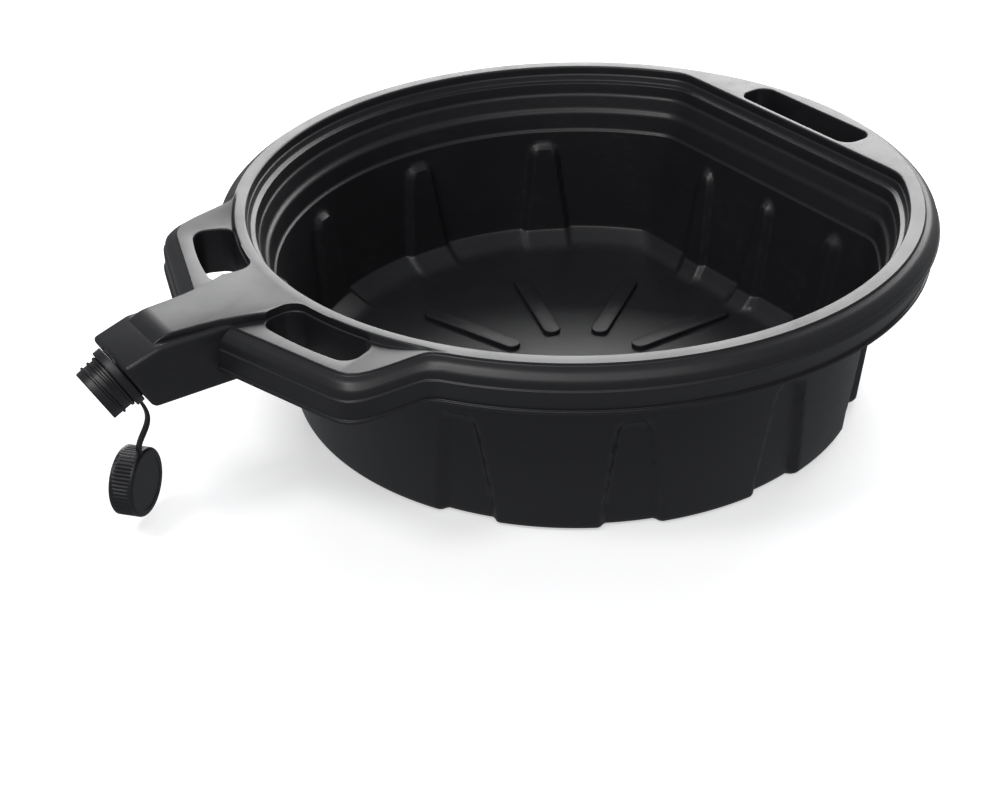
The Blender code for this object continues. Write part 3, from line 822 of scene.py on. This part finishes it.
def spout_cap():
    """The cap, open towards the neck, with a sunken closed face, knurled side, inner thread and tab."""
    half = CAP_HEIGHT / 2
    inside = half - CAP_TOP
    profile = [(0.0, inside), (CAP_BORE - 0.0010, inside), (CAP_BORE, inside - 0.0010)]
    profile += [(CAP_BORE, -half + 0.0010), (CAP_BORE + 0.0008, -half), (CAP_RADIUS - 0.0006, -half)]
    profile += [(CAP_RADIUS, -half + 0.0006)]
    profile += [(CAP_RADIUS, -half + 0.0022 + (CAP_HEIGHT - 0.0042) * k / 12) for k in range(13)]
    for k in range(1, 7):
        turn = math.radians(15 * k)
        profile.append((CAP_RADIUS - CAP_EDGE * (1 - math.cos(turn)), half - CAP_EDGE * (1 - math.sin(turn))))
    profile += [(CAP_RADIUS - 0.0046, half), (CAP_RADIUS - 0.0052, half - 0.0004), (0.0, half - 0.0004)]
    bm = turned_solid(profile, steps=KNURLS * 8)
    knurl(bm)
    bm.transform(cap_matrix())
    cap = object_from(bm, "spout_cap_moulded")
    crest = CAP_BORE - CAP_THREAD_HEIGHT
    ridge = thread_ridge(CAP_BORE, crest, -half + CAP_THREAD_START, THREAD_PITCH, CAP_THREAD_TURNS)
    ridge.transform(cap_matrix())
    combine(cap, ridge, "UNION")
    up = Vector((0, 0, 1))
    combine(cap, tab(STRAP_FOOT - up * CAP_TAB_LENGTH, up, CAP_TAB_LENGTH), "UNION")
    return cap


def cap_seal():
    """Sealing disc against the inside of the cap's closed face, with a raised ring where the neck presses."""
    top = CAP_HEIGHT / 2 - CAP_TOP - CLEARANCE
    low = top - SEAL_THICKNESS
    radius = CAP_BORE - CLEARANCE
    field = low + SEAL_RIDGE
    profile = [(0.0, field), (0.0130, field), (0.0140, low), (0.0174, low), (0.0184, field)]
    profile += [(radius - SEAL_RIDGE, field), (radius, low + 0.0005), (radius, top - 0.0002)]
    profile += [(radius - 0.0002, top), (0.0, top)]
    bm = turned_solid(profile)
    bm.transform(cap_matrix())
    return object_from(bm, "cap_seal_disc")


# Materials
PAN_DARK = (0.0135, 0.0135, 0.0155, 1.0)
PAN_PALE = (0.024, 0.024, 0.027, 1.0)
CAP_DARK = (0.012, 0.012, 0.015, 1.0)
CAP_PALE = (0.024, 0.024, 0.028, 1.0)
RUBBER_DARK = (0.016, 0.016, 0.016, 1.0)
RUBBER_PALE = (0.030, 0.030, 0.030, 1.0)


def nodes_of(name):
    made = bpy.data.materials.new(name)
    made.use_nodes = True
    tree = made.node_tree
    return made, tree, tree.nodes["Principled BSDF"]


def noise(tree, scale, detail=4.0, roughness=0.5, stretch=None):
    place = tree.nodes.new("ShaderNodeTexCoord")
    texture = tree.nodes.new("ShaderNodeTexNoise")
    texture.inputs["Scale"].default_value = scale
    texture.inputs["Detail"].default_value = detail
    texture.inputs["Roughness"].default_value = roughness
    if stretch is None:
        tree.links.new(place.outputs["Object"], texture.inputs["Vector"])
    else:
        mapping = tree.nodes.new("ShaderNodeMapping")
        mapping.inputs["Scale"].default_value = stretch
        tree.links.new(place.outputs["Object"], mapping.inputs["Vector"])
        tree.links.new(mapping.outputs["Vector"], texture.inputs["Vector"])
    return texture.outputs["Fac"]


def spread(tree, value, start, end, low, high):
    """Maps a value's range from start to end onto low to high."""
    node = tree.nodes.new("ShaderNodeMapRange")
    node.inputs["From Min"].default_value = start
    node.inputs["From Max"].default_value = end
    node.inputs["To Min"].default_value = low
    node.inputs["To Max"].default_value = high
    tree.links.new(value, node.inputs["Value"])
    return node.outputs["Result"]


def math_node(tree, operation, a, b):
    node = tree.nodes.new("ShaderNodeMath")
    node.operation = operation
    tree.links.new(a, node.inputs[0])
    if isinstance(b, float):
        node.inputs[1].default_value = b
    else:
        tree.links.new(b, node.inputs[1])
    return node.outputs["Value"]


def colour_mix(tree, factor, dark, pale):
    node = tree.nodes.new("ShaderNodeMix")
    node.data_type = "RGBA"
    node.inputs["A"].default_value = dark
    node.inputs["B"].default_value = pale
    tree.links.new(factor, node.inputs["Factor"])
    return node.outputs["Result"]


def bump(tree, height, strength, distance, below=None):
    node = tree.nodes.new("ShaderNodeBump")
    node.inputs["Strength"].default_value = strength
    node.inputs["Distance"].default_value = distance
    tree.links.new(height, node.inputs["Height"])
    if below is not None:
        tree.links.new(below, node.inputs["Normal"])
    return node.outputs["Normal"]


def moulded_plastic(name, dark, pale, roughness, grain):
    """Black polyethylene: fine even grain, slow waves from the mould, faint scuffs and paler worn places."""
    made, tree, shader = nodes_of(name)
    patches = noise(tree, 14.0, 5.0, 0.6)
    scuffs = noise(tree, 90.0, 6.0, 0.65, (1.0, 1.0, 3.5))
    grains = noise(tree, 1400.0, 2.0, 0.5)
    waves = noise(tree, 26.0, 2.0, 0.4)
    worn_patches = spread(tree, patches, 0.42, 0.72, 0.0, 1.0)
    worn = math_node(tree, "MULTIPLY", worn_patches, spread(tree, scuffs, 0.45, 0.75, 0.0, 1.0))
    tree.links.new(colour_mix(tree, worn, dark, pale), shader.inputs["Base Color"])
    even = spread(tree, patches, 0.3, 0.7, roughness - 0.03, roughness + 0.04)
    rubbed = math_node(tree, "MULTIPLY", worn, 0.10)
    tree.links.new(math_node(tree, "ADD", even, rubbed), shader.inputs["Roughness"])
    slow = bump(tree, waves, 0.10, 0.0010)
    tree.links.new(bump(tree, grains, grain, 0.00010, slow), shader.inputs["Normal"])
    shader.inputs["Specular IOR Level"].default_value = 0.5
    return made


def seal_rubber():
    made, tree, shader = nodes_of("seal_rubber_fine")
    mottle = noise(tree, 220.0, 4.0, 0.6)
    tree.links.new(colour_mix(tree, mottle, RUBBER_DARK, RUBBER_PALE), shader.inputs["Base Color"])
    tree.links.new(spread(tree, mottle, 0.3, 0.7, 0.62, 0.75), shader.inputs["Roughness"])
    tree.links.new(bump(tree, noise(tree, 2600.0, 2.0), 0.3, 0.00006), shader.inputs["Normal"])
    return made


# Studio
def area_light(name, place, target, width, height, power):
    data = bpy.data.lights.new(name, "AREA")
    data.shape = "RECTANGLE"
    data.size = width
    data.size_y = height
    data.energy = power
    lamp = bpy.data.objects.new(name, data)
    bpy.context.scene.collection.objects.link(lamp)
    lamp.location = place
    lamp.rotation_euler = (Vector(target) - Vector(place)).to_track_quat("-Z", "Y").to_euler()


FLOOR_REACH = 12.0  # from the stage floor's middle to its edges
FLOOR_DROP = 0.0002  # how far the stage floor lies under the pan


def studio():
    """Large soft light from behind, two small soft lights in front, and a floor that is close to white."""
    world = bpy.data.worlds.new("studio")
    bpy.context.scene.world = world
    world.use_nodes = True
    world.node_tree.nodes["Background"].inputs["Color"].default_value = (0.95, 0.97, 1.0, 1.0)
    world.node_tree.nodes["Background"].inputs["Strength"].default_value = 0.28
    area_light("back_softbox", (2.0, 2.0, 1.45), (0.0, 0.0, 0.15), 3.6, 2.0, 140.0)
    area_light("front_strip", (-0.9, -1.3, 2.3), (0.0, 0.0, 0.1), 2.4, 0.5, 14.0)
    area_light("left_key", (-1.5, -0.1, 2.3), (0.0, 0.0, 0.0), 0.6, 0.6, 16.0)

    bm = bmesh.new()
    bmesh.ops.create_grid(bm, x_segments=1, y_segments=1, size=FLOOR_REACH)
    mesh = bpy.data.meshes.new("floor")
    bm.to_mesh(mesh)
    bm.free()
    floor = bpy.data.objects.new("floor", mesh)
    bpy.context.scene.collection.objects.link(floor)
    floor.location.z = PAN_LOW.z - FLOOR_DROP
    made, _, shader = nodes_of("floor_paper")
    shader.inputs["Base Color"].default_value = (0.86, 0.86, 0.87, 1.0)
    shader.inputs["Roughness"].default_value = 0.85
    shader.inputs["Emission Color"].default_value = (1.0, 1.0, 1.0, 1.0)
    shader.inputs["Emission Strength"].default_value = 0.54
    mesh.materials.append(made)
    floor.visible_glossy = False
    floor.visible_diffuse = False


# Camera: where it stands, what it faces and how it is rolled
CAMERA_PLACE = Vector((-0.6483, -0.8919, 0.6655))
CAMERA_RIGHT = Vector((0.829567, -0.557855, -0.024823))
CAMERA_UP = Vector((0.315055, 0.430879, 0.845626))
CAMERA_LENS = 61.43


def camera():
    data = bpy.data.cameras.new("camera")
    data.lens = CAMERA_LENS
    data.sensor_width = 36.0
    made = bpy.data.objects.new("camera", data)
    bpy.context.scene.collection.objects.link(made)
    axes = Matrix((CAMERA_RIGHT, CAMERA_UP, CAMERA_RIGHT.cross(CAMERA_UP))).transposed()
    made.matrix_world = Matrix.Translation(CAMERA_PLACE) @ axes.to_4x4()
    bpy.context.scene.camera = made


def main():
    pan_plastic = moulded_plastic("pan_plastic_fine", PAN_DARK, PAN_PALE, 0.40, 0.5)
    cap_plastic = moulded_plastic("cap_plastic_fine", CAP_DARK, CAP_PALE, 0.44, 0.4)
    finish_piece(pan_shape(), "pan", "pan_plastic", pan_plastic, "pan_body")
    finish_piece(tether_ring(), "ring", "cap_plastic", cap_plastic, "tether_ring")
    finish_piece(spout_cap(), "cap", "cap_plastic", cap_plastic, "spout_cap")
    finish_piece(cap_seal(), "cap", "seal_rubber", seal_rubber(), "cap_seal")
    upper = strap_half("tether_strap_upper", 0.0, 0.5)
    lower = strap_half("tether_strap_lower", 0.5, 1.0)
    for piece in (upper, lower):
        piece.data.shade_smooth()
        piece.data.set_sharp_from_angle(angle=math.radians(STRAP_SHARP_ANGLE))
        piece.data.materials.append(cap_plastic)
        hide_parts("tether_strap")
    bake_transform(upper)
    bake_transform(lower)
    studio()
    camera()
    bpy.context.scene.view_settings.view_transform = "Standard"


main()
